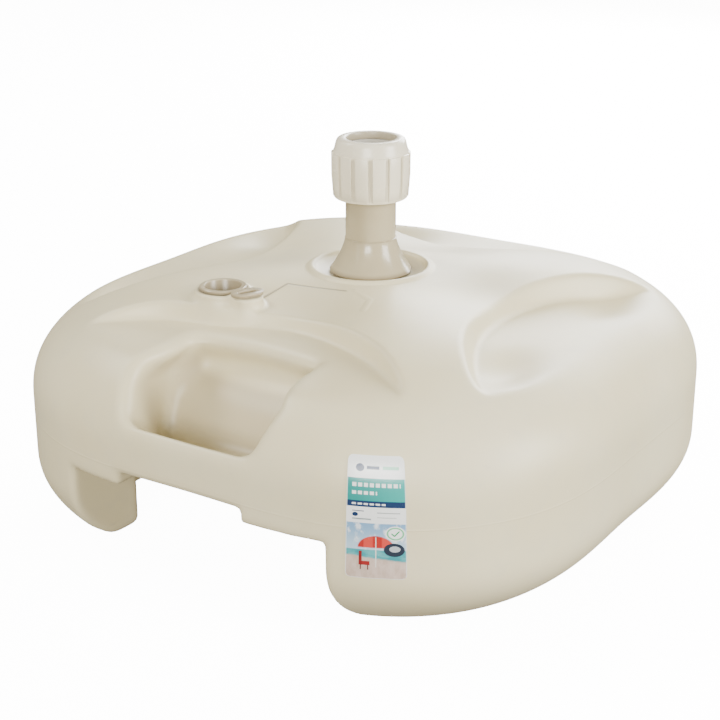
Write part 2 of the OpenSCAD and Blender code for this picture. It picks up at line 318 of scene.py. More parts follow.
def pocket(x, front, z):
    """Distance outside the hand pocket: negative where there is air."""
    ground = soft_max(99.0 - z, plane(front, z, LIP_SLOPE, 225.0, 99.0), 8.0)
    mouth = 56.5 + 0.34 * (np.minimum(z, 162.0) - 130.0)
    inner = 70.0 - 12.0 * step01((z - 146.0) / 24.0)
    width = mouth + (inner - mouth) * step01((236.0 - front) / 52.0)
    side = np.abs(x) - width
    middle = np.maximum(1.0 - np.square(x / 68.0), 0.0)
    wall = 185.0 - 0.29 * (z - 99.0) - 10.0 * middle * step01((z - 105.0) / 40.0)
    wall = wall - 16.0 * bump(z - 149.0, 13.0) * step01(middle * 2.5)
    return soft_max(soft_max(ground, side, 9.0), wall - front, 10.0)


def notch(x, front, z):
    """Distance outside the lifting notch under the front edge."""
    ceiling = plane(front, z, 0.68, 85.0, 0.0)
    wide = soft_max(np.abs(x) - 117.5, soft_max(z - 77.0, -ceiling, 14.0), 5.0)
    high = soft_max(np.abs(x + 8.5) - 57.5, soft_max(z - 88.0, -ceiling, 14.0), 5.0)
    behind = soft_max(soft_max(np.abs(x) - 170.0, -ceiling, 14.0), front - 167.0, 8.0)
    return soft_min(soft_min(wide, high, 3.0), behind, 8.0)


# %% [markdown]
# ### The whole mould
# Every shape is one distance, and each is joined on or cut out with a small blend. A blend is what a real mould
# has at an edge: a radius. The order is the order in which a mould maker would cut them: dome and wall, pocket
# and notch, bosses, collar, and last the round holes.

# %% The whole mould
BOSS_TOP = 198.6
POST_TOP = 198.2
NECK_RADIUS = 17.3
WELL_RADIUS = 25.5
WELL_FLOOR = 40.0


def mould(places):
    """Distance of each place outside the tank's wall, in metres."""
    x, y, z = (np.asarray(places) / MM).T
    reach, turn = np.hypot(x, y), np.arctan2(y, x)
    radius = plan_radius(turn)
    share = np.maximum(reach / radius, 1e-3)
    lift = np.maximum((z + dome_drop(x, y) * step01((z - 125.0) / 30.0) - WAIST) / (DOME - WAIST), 1e-4)
    excess = share ** DOME_P + lift ** DOME_Q - 1.0
    steep = np.hypot(DOME_P * share ** (DOME_P - 1.0) / radius, DOME_Q * lift ** (DOME_Q - 1.0) / (DOME - WAIST))
    dome = excess / np.maximum(steep, 1e-3)
    low = np.clip(1.0 - z / FOOT_ROUND, 0.0, 1.5)
    lean = FOOT_TUCK * FOOT_POWER / FOOT_ROUND * low ** (FOOT_POWER - 1.0)
    wall = (reach - radius + FOOT_TUCK * low ** FOOT_POWER) / np.hypot(1.0, lean)
    tank = soft_max(np.where(z > WAIST, dome, wall), -z, 5.0)
    tank = soft_max(tank, -pocket(x, -y, z), 11.0)
    tank = soft_max(tank, -notch(x, -y, z), 7.0)
    boss = soft_max(np.hypot(x - FILLER_X, y - FILLER_Y) - 22.5, z - BOSS_TOP, 2.0)
    tank = soft_min(tank, soft_max(boss, 170.0 - z, 2.0), 6.0)
    post = soft_max(np.hypot(x - LOOP_X, y - LOOP_Y) - 12.5, z - POST_TOP, 2.0)
    tank = soft_min(tank, soft_max(post, 170.0 - z, 2.0), 5.0)
    ring = np.hypot(reach - 48.4, z - COLLAR_CREST + 5.6) - 5.6
    tank = soft_min(tank, ring, 1.2)
    dish = soft_max(plane(reach, z, 0.30, 34.0, 194.8), reach - 46.5, 2.0)
    tank = soft_max(tank, -dish, 1.2)
    well = soft_max(reach - WELL_RADIUS, WELL_FLOOR - z, 2.0)
    seal_seat = soft_max(reach - 29.5, 190.0 - z, 0.5)
    tank = soft_max(tank, -soft_min(well, seal_seat, 0.5), 1.0)
    neck = soft_max(np.hypot(x - FILLER_X, y - FILLER_Y) - NECK_RADIUS, 172.0 - z, 2.0)
    return soft_max(tank, -neck, 1.2) * MM


print("mould at the pole axis top:", mould([[0.06, 0.0, 0.25], [0.2, 0.2, 0.1]]).round(4))


# %% [markdown]
# ## The tank, roughed out
# First a block with the right topology: a sphere whose rings are slid onto the plan and profile, the pocket, the
# notch, the well and the neck cut out with boolean modifiers, and the bosses joined on. The Remesh modifier turns
# that into an even net of quads. Even quads matter here, because the next step moves every vertex.

# %% Rough block
def block(name, size, place):
    """A box of a size in millimetres, centred on a place."""
    deselect()
    bpy.ops.mesh.primitive_cube_add(size=1.0, location=[c * MM for c in place], scale=[s * MM for s in size])
    return take(name)


def drum(name, radius, low, high, x=0.0, y=0.0):
    """A cylinder between two heights, in millimetres."""
    deselect()
    bpy.ops.mesh.primitive_cylinder_add(vertices=64, radius=radius * MM, depth=(high - low) * MM,
                                        location=(x * MM, y * MM, (low + high) / 2 * MM))
    return take(name)


def combine(piece, other, operation):
    """Joins or cuts with another piece, which is then removed."""
    apply_modifier(piece, "BOOLEAN", operation=operation, object=other, solver="EXACT")
    bpy.data.objects.remove(other)


deselect()
bpy.ops.mesh.primitive_uv_sphere_add(segments=160, ring_count=90, radius=1.0)
tank = take("tank")
ball = corners(tank)
turn = np.arctan2(ball[:, 1], ball[:, 0])
level = np.arcsin(np.clip(ball[:, 2], -1.0, 1.0)) / (math.pi / 2)
upper_share = np.cos(np.clip(level, 0.0, 1.0) * math.pi / 2) ** 0.7
foot_height = WAIST * np.clip(1.0 + level * 1.6, 0.0, 1.0)
foot_share = np.clip((1.0 + level) / 0.375, 0.0, 1.0)
rough_share = np.where(level >= 0.0, upper_share, foot_share)
rough_reach = plan_radius(turn) * rough_share
rough_reach = rough_reach - np.where(level < 0.0, FOOT_TUCK * (1.0 - np.minimum(foot_height / FOOT_ROUND, 1.0))
                                     ** FOOT_POWER * foot_share, 0.0)
rough_x, rough_y = rough_reach * np.cos(turn), rough_reach * np.sin(turn)
rough_z = np.where(level >= 0.0, plain_dome(np.minimum(upper_share, 1.0)) - dome_drop(rough_x, rough_y)
                   * step01((plain_dome(np.minimum(upper_share, 1.0)) - 125.0) / 30.0), foot_height)
move_corners(tank, np.column_stack((rough_x, rough_y, rough_z)) * MM)
print("rough block:", len(tank.data.polygons), "faces")

# %% [markdown]
# ### Rough hollows
# A box is a poor pocket, but its corners can be moved before it is used as a cutter. Here each box becomes a
# wedge that is close enough to the real hollow for the vertices to slide the rest of the way.

# %% Rough hollows
mouth_cut = block("mouth_cut", (120.0, 110.0, 130.0), (0.0, -237.0, 167.0))
mouth_places = corners(mouth_cut)
outer_top = (mouth_places[:, 1] < -0.2) & (mouth_places[:, 2] > 0.2)
outer_low = (mouth_places[:, 1] < -0.2) & (mouth_places[:, 2] < 0.2)
mouth_places[outer_top, 0] *= 1.40
mouth_places[outer_low, 2] += 85.0 * MM
mouth_places[(mouth_places[:, 1] > -0.2) & (mouth_places[:, 2] > 0.2), 1] += 18.0 * MM
move_corners(mouth_cut, mouth_places)
combine(tank, mouth_cut, "DIFFERENCE")
combine(tank, block("bar_cut", (120.0, 40.0, 40.0), (0.0, -178.0, 138.0)), "DIFFERENCE")
wedge = block("notch_cut", (234.0, 210.0, 97.0), (0.0, -190.0, 28.5))
wedge_places = corners(wedge)
wedge_places[(wedge_places[:, 1] > -0.2) & (wedge_places[:, 2] > 0.05), 1] -= 113.0 * MM
move_corners(wedge, wedge_places)
combine(tank, wedge, "DIFFERENCE")
combine(tank, block("step_cut", (115.0, 90.0, 60.0), (-8.5, -257.0, 58.0)), "DIFFERENCE")
wedge = block("behind_cut", (340.0, 110.0, 75.0), (0.0, -112.0, 18.0))
wedge_places = corners(wedge)
wedge_places[(wedge_places[:, 1] > -0.1) & (wedge_places[:, 2] > 0.05), 1] -= 108.0 * MM
wedge_places[(wedge_places[:, 1] > -0.1) & (wedge_places[:, 2] < 0.0), 1] -= 1.0 * MM
move_corners(wedge, wedge_places)
combine(tank, wedge, "DIFFERENCE")
combine(tank, drum("boss", 22.5, 175.0, BOSS_TOP, FILLER_X, FILLER_Y), "UNION")
combine(tank, drum("post", 12.5, 175.0, POST_TOP, LOOP_X, LOOP_Y), "UNION")
combine(tank, drum("well_cut", WELL_RADIUS, WELL_FLOOR, 230.0), "DIFFERENCE")
combine(tank, drum("neck_cut", NECK_RADIUS, 172.0, 230.0, FILLER_X, FILLER_Y), "DIFFERENCE")
apply_modifier(tank, "REMESH", mode="VOXEL", voxel_size=3.3 * MM)
print("even net:", len(tank.data.polygons), "faces")

# %% [markdown]
# ### Settling the net onto the mould
# Each vertex is moved along the steepest way to where the formula is zero, which is Newton's method. Between two
# rounds the net is relaxed with the smooth operator, so that quads stay even and round off the corners. The
# collar and the bosses have small radii, so their part of the net is subdivided first.


# %% Settle
def settle(piece, rounds):
    """Pulls every vertex of the piece onto the mould."""
    places = corners(piece)
    tiny = 0.02 * MM
    for _ in range(rounds):
        away = mould(places)
        slope = np.column_stack([(mould(places + step) - mould(places - step)) / (2.0 * tiny)
                                 for step in np.eye(3) * tiny])
        length = np.maximum((slope ** 2).sum(1), 0.05)
        move = (away / length)[:, None] * slope
        size = np.linalg.norm(move, axis=1, keepdims=True)
        places -= move * np.minimum(1.0, 2.5 * MM / np.maximum(size, 1e-9))
    move_corners(piece, places)
    return float(np.abs(mould(places)).max() / MM)


def relax(piece, repeat):
    """Evens out the net with the smooth operator."""
    only(piece)
    bpy.ops.object.mode_set(mode="EDIT")
    bpy.ops.mesh.select_all(action="SELECT")
    bpy.ops.mesh.vertices_smooth(factor=0.5, repeat=repeat)
    bpy.ops.object.mode_set(mode="OBJECT")


def refine(piece, test):
    """Halves the quads of a region."""
    select_faces(piece, test)
    bpy.ops.mesh.subdivide(number_cuts=1)
    bpy.ops.object.mode_set(mode="OBJECT")


def near(face_centre, x, y, inner, outer):
    """True for a face on top whose distance from a point lies between two radii."""
    gap = math.hypot(face_centre.x / MM - x, face_centre.y / MM - y)
    return inner < gap < outer and face_centre.z > 0.165


for _ in range(3):
    settle(tank, 4)
    relax(tank, 2)
settle(tank, 4)
refine(tank, lambda c, n: near(c, 0, 0, 20, 64) or near(c, FILLER_X, FILLER_Y, 0, 33)
       or near(c, LOOP_X, LOOP_Y, 0, 20))
settle(tank, 3)
relax(tank, 1)
settle(tank, 3)
refine(tank, lambda c, n: near(c, 0, 0, 30, 56) or near(c, FILLER_X, FILLER_Y, 14, 28)
       or near(c, LOOP_X, LOOP_Y, 8, 17))
settle(tank, 3)
relax(tank, 1)
print("largest distance from the mould, mm:", round(settle(tank, 5), 3))
smooth_shade(tank, 60.0)
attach(tank, "tank")
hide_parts("body_shell")
print("tank:", len(tank.data.polygons), "faces")

# %% [markdown]
# ## Pole tube
# The tube is moulded in one piece: a long spigot that stands in the well of the tank, a foot that flares out like
# a trumpet and covers the well, a straight neck, and a threaded head inside the nut. Everything on it is round,
# so a single profile turned about the pole axis gives the whole piece. The flare meets the neck at a faint step.

# %% Tube
TURNS = 112
flare = []
for k in np.linspace(0.0, 1.0, 15):
    flare.append((33.8 - 12.6 * (1.0 - (1.0 - k) ** 1.5), 197.0 + 27.0 * k))
tube_profile = [(19.3, 60.0), (19.8, 60.0), (24.4, 60.0), (25.0, 60.8), (25.0, 195.3), (32.9, 195.3),
                (33.6, 195.7), (33.8, 196.4)] + flare
tube_profile += [(20.8, 224.3), (20.8, 258.6), (25.6, 263.0), (26.0, 263.5), (26.0, 291.4), (25.6, 292.0),
                 (24.3, 292.0), (24.0, 291.8), (19.6, 268.0), (19.3, 267.5)]
pole_tube = revolve("pole_tube_turned", tube_profile, TURNS)
smooth_shade(pole_tube, 24.0)
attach(pole_tube, "tube")
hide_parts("pole_tube")
print("tube:", len(pole_tube.data.polygons), "faces")

# %% [markdown]
# ## Clamp nut
# The nut is turned like the tube, then the grip is made in edit mode. The faces of its skirt are picked by angle:
# five of every eight columns belong to a rib. Extruding them outwards together gives flat ribs with narrow
# grooves between them, and a bevel rounds their edges as a mould would.

# %% Nut
RIB_COLUMNS, GROOVE_COLUMNS = 6, 2
cap = [(30.5, 296.6), (30.3, 297.4), (29.9, 298.6), (29.3, 301.0), (28.8, 303.0), (28.3, 304.6), (27.6, 305.9),
       (26.6, 306.7), (25.4, 307.0)]
nut_profile = [(26.3, 258.0), (26.9, 258.0), (29.2, 258.0), (29.9, 258.5), (30.4, 259.6), (30.4, 277.0),
               (30.5, 295.4)] + cap
nut_profile += [(20.9, 307.0), (20.3, 306.7), (20.1, 306.0), (20.1, 301.3), (26.3, 301.3)]
clamp_nut = revolve("clamp_nut_fluted", nut_profile, TURNS)


def rib_column(centre):
    """True for a column of faces that belongs to a rib."""
    column = int(math.floor((math.degrees(math.atan2(centre.y, centre.x)) + 3.5) % 360.0 / (360.0 / TURNS)))
    return column % (RIB_COLUMNS + GROOVE_COLUMNS) < RIB_COLUMNS


def on_skirt(centre, normal):
    """True for an outer face of the skirt that belongs to a rib."""
    reach = math.hypot(centre.x, centre.y)
    outwards = normal.x * centre.x + normal.y * centre.y > 0.5 * reach
    return reach > 29.9 * MM and 0.2595 < centre.z < 0.2956 and outwards and rib_column(centre)


select_faces(clamp_nut, on_skirt)
bpy.ops.mesh.extrude_region_shrink_fatten(TRANSFORM_OT_shrink_fatten={"value": 1.85 * MM})
bpy.ops.mesh.select_all(action="SELECT")
bpy.ops.mesh.normals_make_consistent(inside=False)
bpy.ops.object.mode_set(mode="OBJECT")
places = corners(clamp_nut)
reach = np.hypot(places[:, 0], places[:, 1])
taper = np.where((reach > 31.0 * MM) & (places[:, 2] < 0.2605), 30.9 * MM / reach, 1.0)
move_corners(clamp_nut, places * np.column_stack((taper, taper, np.ones(len(taper)))))
apply_modifier(clamp_nut, "BEVEL", width=0.55 * MM, segments=2, limit_method="ANGLE",
               angle_limit=math.radians(38.0), harden_normals=False)
smooth_shade(clamp_nut, 30.0)
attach(clamp_nut, "nut")
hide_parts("clamp_nut")
print("nut:", len(clamp_nut.data.polygons), "faces, low and high:", [round(v, 4) for v in (
    corners(clamp_nut)[:, 2].min(), corners(clamp_nut)[:, 2].max(), np.hypot(*corners(clamp_nut)[:, :2].T).max())])

# %% [markdown]
# ## Filler plug
# The plug closes the neck that the tank is filled through. It is a hollow stopper with a groove for a soft ring
# and a flange that rests on the boss, and a flat pull loop sticks out of the flange. The loop is a long ring:
# two cylinders are stretched by moving one half of their vertices, one is cut out of the other, and the result
# is joined to the flange.

# %% Plug
plug_profile = [(14.0, 185.9), (14.8, 201.0), (15.1, 201.5), (18.2, 201.5), (18.8, 201.0), (18.8, 199.4),
                (18.4, 198.9), (17.0, 198.9), (17.0, 193.1), (15.8, 193.1), (15.8, 190.9), (17.0, 190.9),
                (17.0, 184.9), (16.0, 183.9), (0.0, 183.9), (0.0, 185.9)]
filler_plug = revolve("filler_plug_moulded", plug_profile, 72)
move_corners(filler_plug, corners(filler_plug) + np.array([FILLER_X, FILLER_Y, 0.0]) * MM)


LOOP_TURN = 66.0


def long_drum(name, radius, low, high):
    """A cylinder stretched to a long shape, turned and placed where the pull loop is."""
    piece = drum(name, radius, low, high)
    places = corners(piece)
    places[:, 0] += np.where(places[:, 0] > 0.0, 5.0, -5.0) * MM
    turn = math.radians(LOOP_TURN)
    x, y = places[:, 0].copy(), places[:, 1].copy()
    places[:, 0] = x * math.cos(turn) - y * math.sin(turn) + LOOP_X * MM
    places[:, 1] = x * math.sin(turn) + y * math.cos(turn) + LOOP_Y * MM
    move_corners(piece, places)
    return piece


pull_loop = long_drum("pull_loop", 8.4, 199.1, 201.4)
combine(pull_loop, long_drum("loop_slot", 2.8, 190.0, 210.0), "DIFFERENCE")
combine(filler_plug, pull_loop, "UNION")
apply_modifier(filler_plug, "BEVEL", width=0.35 * MM, segments=2, limit_method="ANGLE",
               angle_limit=math.radians(45.0))
smooth_shade(filler_plug, 35.0)
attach(filler_plug, "plug")
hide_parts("filler_plug")
print("plug:", len(filler_plug.data.polygons), "faces")

# %% [markdown]
# ## Label
# A printed film is stuck on the wall of the right-hand front lobe, where the wall bends into the dome. A film
# can't stretch much, so it follows the wall by its own width and height. A grid is rounded at its corners, laid
# on the mould by searching along each ray from the pole axis, and given its small thickness.

# %% Label
label_low, label_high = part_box("product_label")
LABEL_ANGLE = math.radians(303.7)
LABEL_WIDTH, LABEL_CORNER = 40.5, 3.5
LABEL_LOW, LABEL_HIGH = label_low.z / MM, label_high.z / MM
label_rows = LABEL_HIGH - LABEL_LOW

deselect()
bpy.ops.mesh.primitive_grid_add(x_subdivisions=24, y_subdivisions=56, size=1.0)
label = take("product_label_film")
sheet = corners(label)
across = sheet[:, 0] * LABEL_WIDTH
upwards = sheet[:, 1] * label_rows
over_x = np.maximum(np.abs(across) - (LABEL_WIDTH / 2 - LABEL_CORNER), 0.0)
over_y = np.maximum(np.abs(upwards) - (label_rows / 2 - LABEL_CORNER), 0.0)
squeeze = np.minimum(1.0, np.maximum(over_x, over_y) / np.maximum(np.hypot(over_x, over_y), 1e-6))
across = across - np.sign(across) * over_x * (1.0 - squeeze)
upwards = upwards - np.sign(upwards) * over_y * (1.0 - squeeze)
film_height = LABEL_LOW + label_rows / 2 + upwards
film_turn = LABEL_ANGLE + across * (1.0 - 0.1 * sheet[:, 1]) / 272.0


def wall_reach(turn, height, lift):
    """Distance from the pole axis at which the wall stands, plus a lift, found by halving."""
    low, high = np.full(len(turn), 180.0), np.full(len(turn), 300.0)
    for _ in range(30):
        middle = (low + high) / 2
        places = np.column_stack((middle * np.cos(turn), middle * np.sin(turn), height)) * MM
        outside = mould(places) / MM > lift
        high, low = np.where(outside, middle, high), np.where(outside, low, middle)
    return (low + high) / 2


film_reach = wall_reach(film_turn, film_height, 0.35)
move_corners(label, np.column_stack((film_reach * np.cos(film_turn), film_reach * np.sin(film_turn),
                                     film_height)) * MM)
apply_modifier(label, "SOLIDIFY", thickness=0.3 * MM, offset=0.0)
smooth_shade(label, 50.0)
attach(label, "tank")
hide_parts("product_label")
print("label:", len(label.data.polygons), "faces")

# %% [markdown]
# ## Materials
# All parts are polyolefin, a soft waxy plastic with a satin surface. The tank is ivory; the nut's colour is painted
# lighter as light, and the tube's and the plug's darker as shade. A node tree full of maths nodes is hard to read, so
# two small classes write it as formulas: `Wire` is a value on its way through the tree and understands + - * /, and
# `Paint` owns a material and adds nodes to it.


# %% Shader classes
class Wire:
    """A value that flows through a node tree. Operators add the matching maths nodes."""

    def __init__(self, paint, socket):
        self.paint, self.socket = paint, socket

    def maths(self, operation, *values):
        return self.paint.node("ShaderNodeMath", values, operation=operation)

    def __add__(self, other):
        return self.maths("ADD", self, other)

    def __sub__(self, other):
        return self.maths("SUBTRACT", self, other)

    def __rsub__(self, other):
        return self.maths("SUBTRACT", other, self)

    def __mul__(self, other):
        return self.maths("MULTIPLY", self, other)

    def __truediv__(self, other):
        return self.maths("DIVIDE", self, other)

    __radd__, __rmul__ = __add__, __mul__

    def size(self):
        return self.maths("ABSOLUTE", self)

    def most(self, other):
        return self.maths("MAXIMUM", self, other)

    def least(self, other):
        return self.maths("MINIMUM", self, other)

    def root(self):
        return self.maths("SQRT", self)

    def ramp(self, start, end):
        """0 before start, 1 after end, smooth between them."""
        return self.paint.node("ShaderNodeMapRange", [self, start, end, 0.0, 1.0],
                               interpolation_type="SMOOTHSTEP")


class Paint:
    """A node material. Its node method adds any node, sets or links its inputs and returns an output."""

    def __init__(self, name):
        self.material = bpy.data.materials.new(name)
        self.material.use_nodes = True
        self.tree = self.material.node_tree
        self.surface = self.tree.nodes["Principled BSDF"]

    def put(self, socket, value):
        if isinstance(value, Wire):
            self.tree.links.new(value.socket, socket)
        elif value is not None:
            socket.default_value = value

    def node(self, kind, values=(), output=0, **settings):
        made = self.tree.nodes.new(kind)
        for key, value in settings.items():
            setattr(made, key, value)
        named = values.items() if isinstance(values, dict) else enumerate(values)
        for key, value in named:
            self.put(made.inputs[key], value)
        return Wire(self, made.outputs[output])

    def object_place(self):
        return self.node("ShaderNodeTexCoord", output="Object")

    def axes(self, place):
        """The three parts of a place, in millimetres."""
        return [self.node("ShaderNodeSeparateXYZ", [place], output=axis) * 1000.0 for axis in "XYZ"]

    def noise(self, place, scale, detail=2.0, roughness=0.5):
        return self.node("ShaderNodeTexNoise", {"Vector": place, "Scale": scale, "Detail": detail,
                                                "Roughness": roughness})

    def stretched(self, place, scale):
        """The place with each axis multiplied, for grain that runs one way."""
        return self.node("ShaderNodeVectorMath", [place, scale], operation="MULTIPLY")

    def blend(self, share, first, second):
        return self.node("ShaderNodeMix", {0: share, 6: first, 7: second}, output=2, data_type="RGBA")

    def finish(self, colour, roughness, height=None, depth=0.001):
        """Links colour, roughness and the height of the bumps to the surface."""
        self.put(self.surface.inputs["Base Color"], colour)
        self.put(self.surface.inputs["Roughness"], roughness)
        if height is not None:
            normal = self.node("ShaderNodeBump", {"Strength": 1.0, "Distance": depth, "Height": height})
            self.put(self.surface.inputs["Normal"], normal)
        return self.material


def shade(red, green, blue):
    """A colour given in linear light."""
    return (red, green, blue, 1.0)


def dress(piece, material):
    """Gives a piece this material alone."""
    piece.data.materials.clear()
    piece.data.materials.append(material)


# %% [markdown]
# ### Tank plastic
# Blown plastic is never quite even: it is a touch warmer where the wall is thick, it has a very fine
# orange-peel grain, and a parting line runs round it where the two halves of the mould met. In front of the
# collar a hairline crease marks a panel. Use shows as faint scuffs near the floor.
# Painted shade: the crease line, a ring round the plug, the dish inside the collar and the inside of the hand pocket
# are painted darker.


# %% Tank material
def segment(x, y, start, end):
    """Distance from a straight line between two points, as a formula."""
    along = (end[0] - start[0], end[1] - start[1])
    length = math.hypot(*along)
    ux, uy = along[0] / length, along[1] / length
    forward = (x - start[0]) * ux + (y - start[1]) * uy
    inside = forward.most(0.0).least(length)
    off_x, off_y = x - inside * ux - start[0], y - inside * uy - start[1]
    return (off_x * off_x + off_y * off_y).root()


paint = Paint("tank_ivory")
place = paint.object_place()
x, y, z = paint.axes(place)
cloud = paint.noise(place, 9.0, 3.0)
speck = paint.noise(place, 55.0, 4.0, 0.6)
scuff = paint.noise(paint.stretched(place, (38.0, 38.0, 150.0)), 1.0, 5.0, 0.7)
near_floor = 1.0 - z.ramp(2.0, 34.0)
wear = (scuff.ramp(0.56, 0.72) * near_floor).least(1.0)
ivory = paint.blend(cloud.ramp(0.3, 0.7), shade(0.710, 0.632, 0.395), shade(0.740, 0.670, 0.450))
ivory = paint.blend(speck.ramp(0.45, 0.8) * 0.22, ivory, shade(0.60, 0.55, 0.43))
ivory = paint.blend(wear * 0.45, ivory, shade(0.36, 0.33, 0.27))
on_top = z.ramp(180.0, 188.0)
crease = segment(x, y, (-36.0, -106.0), (-33.0, -72.0)).least(segment(x, y, (-33.0, -72.0), (18.0, -64.0)))
corner = segment(x, y, (24.0, -60.0), (46.0, -72.0)).least(segment(x, y, (46.0, -72.0), (53.0, -92.0)))
crease_groove_and_shade = (1.0 - crease.ramp(0.3, 1.7)) * on_top
faint = (1.0 - corner.ramp(0.5, 4.0)) * on_top
# Painted shade: the crease line is painted dark, as shade along its step. The same mask also cuts it in as a groove
# in the bumps.
ivory = paint.blend(crease_groove_and_shade * 0.8, ivory, shade(0.30, 0.25, 0.17))
plug_x, plug_y = x - FILLER_X, y - FILLER_Y
plug_gap_shade = 1.0 - ((plug_x * plug_x + plug_y * plug_y).root() - 18.9).size().ramp(0.7, 2.0)
reach = (x * x + y * y).root()
front = y * -1.0
# Painted shade: the inside of the hand pocket, under the bar, is painted a darker brown.
pocket_shade_reach = (1.0 - front.ramp(205.0, 234.0)) * front.ramp(150.0, 160.0) * (1.0 - x.size().ramp(60.0, 78.0))
pocket_shade = pocket_shade_reach * (1.0 - z.ramp(148.0, 166.0)) * z.ramp(94.0, 99.0)
ivory = paint.blend(pocket_shade * 0.6, ivory, shade(0.40, 0.33, 0.20))
# Painted shade: the dish between the tube and the collar ring is painted darker.
dish = (1.0 - (reach - 37.0).size().ramp(3.0, 9.0)) * on_top
# Painted shade: a dark ring in the gap round the plug's flange.
ivory = paint.blend(plug_gap_shade * on_top * 0.7, ivory, shade(0.22, 0.175, 0.10))
ivory = paint.blend(dish * 0.55, ivory, shade(0.42, 0.36, 0.24))
parting = 1.0 - (z - 92.0 - cloud * 2.0).size().ramp(0.2, 1.0)
grain = paint.noise(place, 900.0, 2.0)
height = grain * 0.05 + speck * 0.06 + parting * 0.12 - crease_groove_and_shade * 0.5 + faint * 0.35 - wear * 0.05
tank_plastic = paint.finish(ivory, 0.36 + cloud * 0.08 + speck * 0.06 + wear * 0.15, height, 0.001)
dress(tank, tank_plastic)
print("tank material:", len(paint.tree.nodes), "nodes")

# %% [markdown]
# ### Turned parts
# Tube, nut, collet and plug are injection moulded, so they are smoother and glossier than the tank. They carry
# fine scratches round the axis from the pole and from hands, and shade is painted darker into their low places,
# grooves and undersides.


# %% Smooth plastic
def smooth_plastic(name, light, dark, roughness, seed, painted_shade=None):
    """Glossier plastic with rings of fine scratches round the pole axis, and painted shade where a formula asks for
    it.
    """
    paint = Paint(name)
    place = paint.object_place()
    shifted = paint.node("ShaderNodeVectorMath", [place, (seed, seed * 0.7, 0.0)], operation="ADD")
    x, y, z = paint.axes(place)
    cloud = paint.noise(shifted, 26.0, 3.0)
    rings = paint.noise(paint.stretched(shifted, (30.0, 30.0, 900.0)), 1.0, 4.0, 0.65)
    wear = rings.ramp(0.60, 0.78) * cloud.ramp(0.35, 0.65)
    colour = paint.blend(cloud.ramp(0.3, 0.7), light, dark)
    colour = paint.blend(wear * 0.25, colour, shade(0.42, 0.39, 0.32))
    # Painted shade: where the formula asks, the colour is blended towards a dark brown that stands for shade.
    if painted_shade:
        reach = (x * x + y * y).root()
        colour = paint.blend(painted_shade(reach, z) * 0.75, colour, shade(0.26, 0.21, 0.125))
    fine = paint.noise(place, 1400.0, 1.0)
    height = fine * 0.02 + rings * 0.015 - wear * 0.02
    return paint.finish(colour, roughness + cloud * 0.06 + wear * 0.12, height, 0.001)


def tube_painted_shade(reach, z):
    """Painted shade at the flare's lower edge, under the nut and at the step above the flare."""
    return (1.0 - z.ramp(196.8, 200.5)) + z.ramp(250.0, 262.0) * 0.7 + (1.0 - (z - 224.2).size().ramp(0.2, 1.2)) * 0.5


def nut_painted_shade(reach, z):
    """Painted shade in the grooves and in the pole hole."""
    groove = (1.0 - (reach - 30.4).size().ramp(0.3, 1.2)) * (1.0 - z.ramp(293.0, 296.0)) * z.ramp(259.5, 261.0)
    return groove * 0.45 + (1.0 - reach.ramp(20.4, 22.0))


def plug_painted_shade(reach, z):
    """Painted shade on everything below the upper face of the flange and the loop."""
    return 1.0 - z.ramp(200.3, 201.3)


# Painted shade: the tube's colour is a darker tan than the tank's ivory.
dress(pole_tube, smooth_plastic("tube_ivory_shaded", shade(0.45, 0.39, 0.25), shade(0.41, 0.35, 0.22), 0.17, 0.3,
                                 tube_painted_shade))
# Painted light: the nut's colour is lighter than the tank's ivory.
dress(clamp_nut, smooth_plastic("nut_ivory_lit", shade(0.84, 0.78, 0.61), shade(0.80, 0.735, 0.56), 0.24, 1.1,
                                nut_painted_shade))
dress(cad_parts["clamp_collet"], smooth_plastic("collet_ivory", shade(0.66, 0.63, 0.55),
                                                     shade(0.63, 0.60, 0.52), 0.34, 2.3))
# Painted shade: the plug's colour is a dark tan.
dress(filler_plug, smooth_plastic("plug_ivory_shaded", shade(0.42, 0.36, 0.23), shade(0.37, 0.31, 0.195), 0.28, 3.7,
                                  plug_painted_shade))


# %% [markdown]
# ### Rubber
# Soft seals don't shine. A high roughness and a thin, uneven layer of dust are enough for them.


# %% Rubber
def rubber(name, seed):
    """Soft grey rubber with a dusty bloom."""
    paint = Paint(name)
    place = paint.node("ShaderNodeVectorMath", [paint.object_place(), (seed, seed, seed)], operation="ADD")
    dust = paint.noise(place, 120.0, 4.0, 0.65).ramp(0.42, 0.72)
    colour = paint.blend(dust * 0.5, shade(0.035, 0.035, 0.036), shade(0.10, 0.098, 0.09))
    return paint.finish(colour, 0.62 + dust * 0.2, paint.noise(place, 1200.0, 2.0) * 0.04, 0.001)


dress(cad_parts["tube_seal"], rubber("tube_seal_rubber", 0.0))
dress(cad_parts["plug_seal"], rubber("plug_seal_rubber", 1.7))

# %% [markdown]
# ### Label print
# The print is drawn with formulas on the label's own flat coordinates: boxes and ovals are 1 inside and 0
# outside, and each one chooses between two colours. Lettering and marks are left out, so plain bars stand where
# the lines of text would be.


# %% Label material
paint = Paint("label_print")
uv = paint.node("ShaderNodeTexCoord", output="UV")
u = paint.node("ShaderNodeSeparateXYZ", [uv], output="X")
v = paint.node("ShaderNodeSeparateXYZ", [uv], output="Y")
SOFT = 0.006
PRINT_WIDTH, PRINT_HEIGHT = 37.0, 97.0


def inside_box(left, right, low, high):
    """1 inside a box of the label, 0 outside."""
    gap = ((u - (left + right) / 2).size() - (right - left) / 2).most(
        ((v - (low + high) / 2).size() - (high - low) / 2))
    return 1.0 - gap.ramp(-SOFT * 0.5, SOFT * 0.5)


def inside_oval(centre_u, centre_v, half_u, half_v):
    """1 inside an oval of the label, 0 outside."""
    du, dv = (u - centre_u) / half_u, (v - centre_v) / half_v
    return 1.0 - (du * du + dv * dv).root().ramp(0.96, 1.04)


